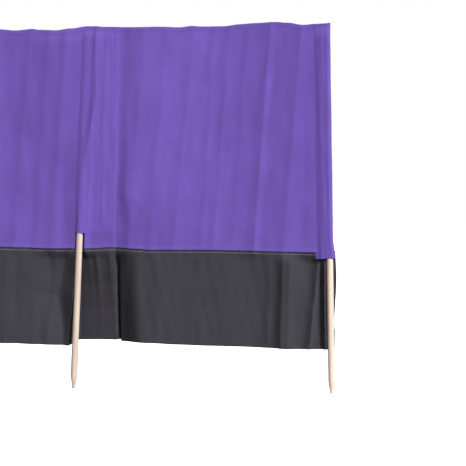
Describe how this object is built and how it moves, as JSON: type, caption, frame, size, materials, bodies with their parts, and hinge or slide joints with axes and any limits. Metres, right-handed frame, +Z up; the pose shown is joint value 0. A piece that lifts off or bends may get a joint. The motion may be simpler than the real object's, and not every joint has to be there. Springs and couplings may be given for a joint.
{
  "type": "beach windbreak",
  "caption": "Beach windbreak in bays: purple canvas with a charcoal valance, sleeved over round wooden stakes with tapered feet.",
  "frame": {"origin": "centre of the blunt foot of the middle stake", "axes": "+X along the row of bays, -Y out of the front face, +Z up the stakes"},
  "size_m": [4.038, 0.1218, 1.4002],
  "materials": {
    "stake_wood": "sanded, unvarnished",
    "purple_canvas": "matt woven",
    "black_canvas": "matt woven"
  },
  "bodies": {
    "root": {"stake_1": "stake_wood", "stake_2": "stake_wood", "stake_3": "stake_wood", "stake_4": "stake_wood", "stake_5": "stake_wood", "sleeve_1": "purple_canvas", "sleeve_2": "purple_canvas", "sleeve_3": "purple_canvas", "sleeve_4": "purple_canvas", "sleeve_5": "purple_canvas", "canvas_1": "purple_canvas", "canvas_2": "purple_canvas", "canvas_3": "purple_canvas", "canvas_4": "purple_canvas", "top_hem_1": "purple_canvas", "top_hem_2": "purple_canvas", "top_hem_3": "purple_canvas", "top_hem_4": "purple_canvas", "valance_1": "black_canvas", "valance_2": "black_canvas", "valance_3": "black_canvas", "valance_4": "black_canvas", "valance_hem_1": "black_canvas", "valance_hem_2": "black_canvas", "valance_hem_3": "black_canvas", "valance_hem_4": "black_canvas"}
  },
  "joints": []
}
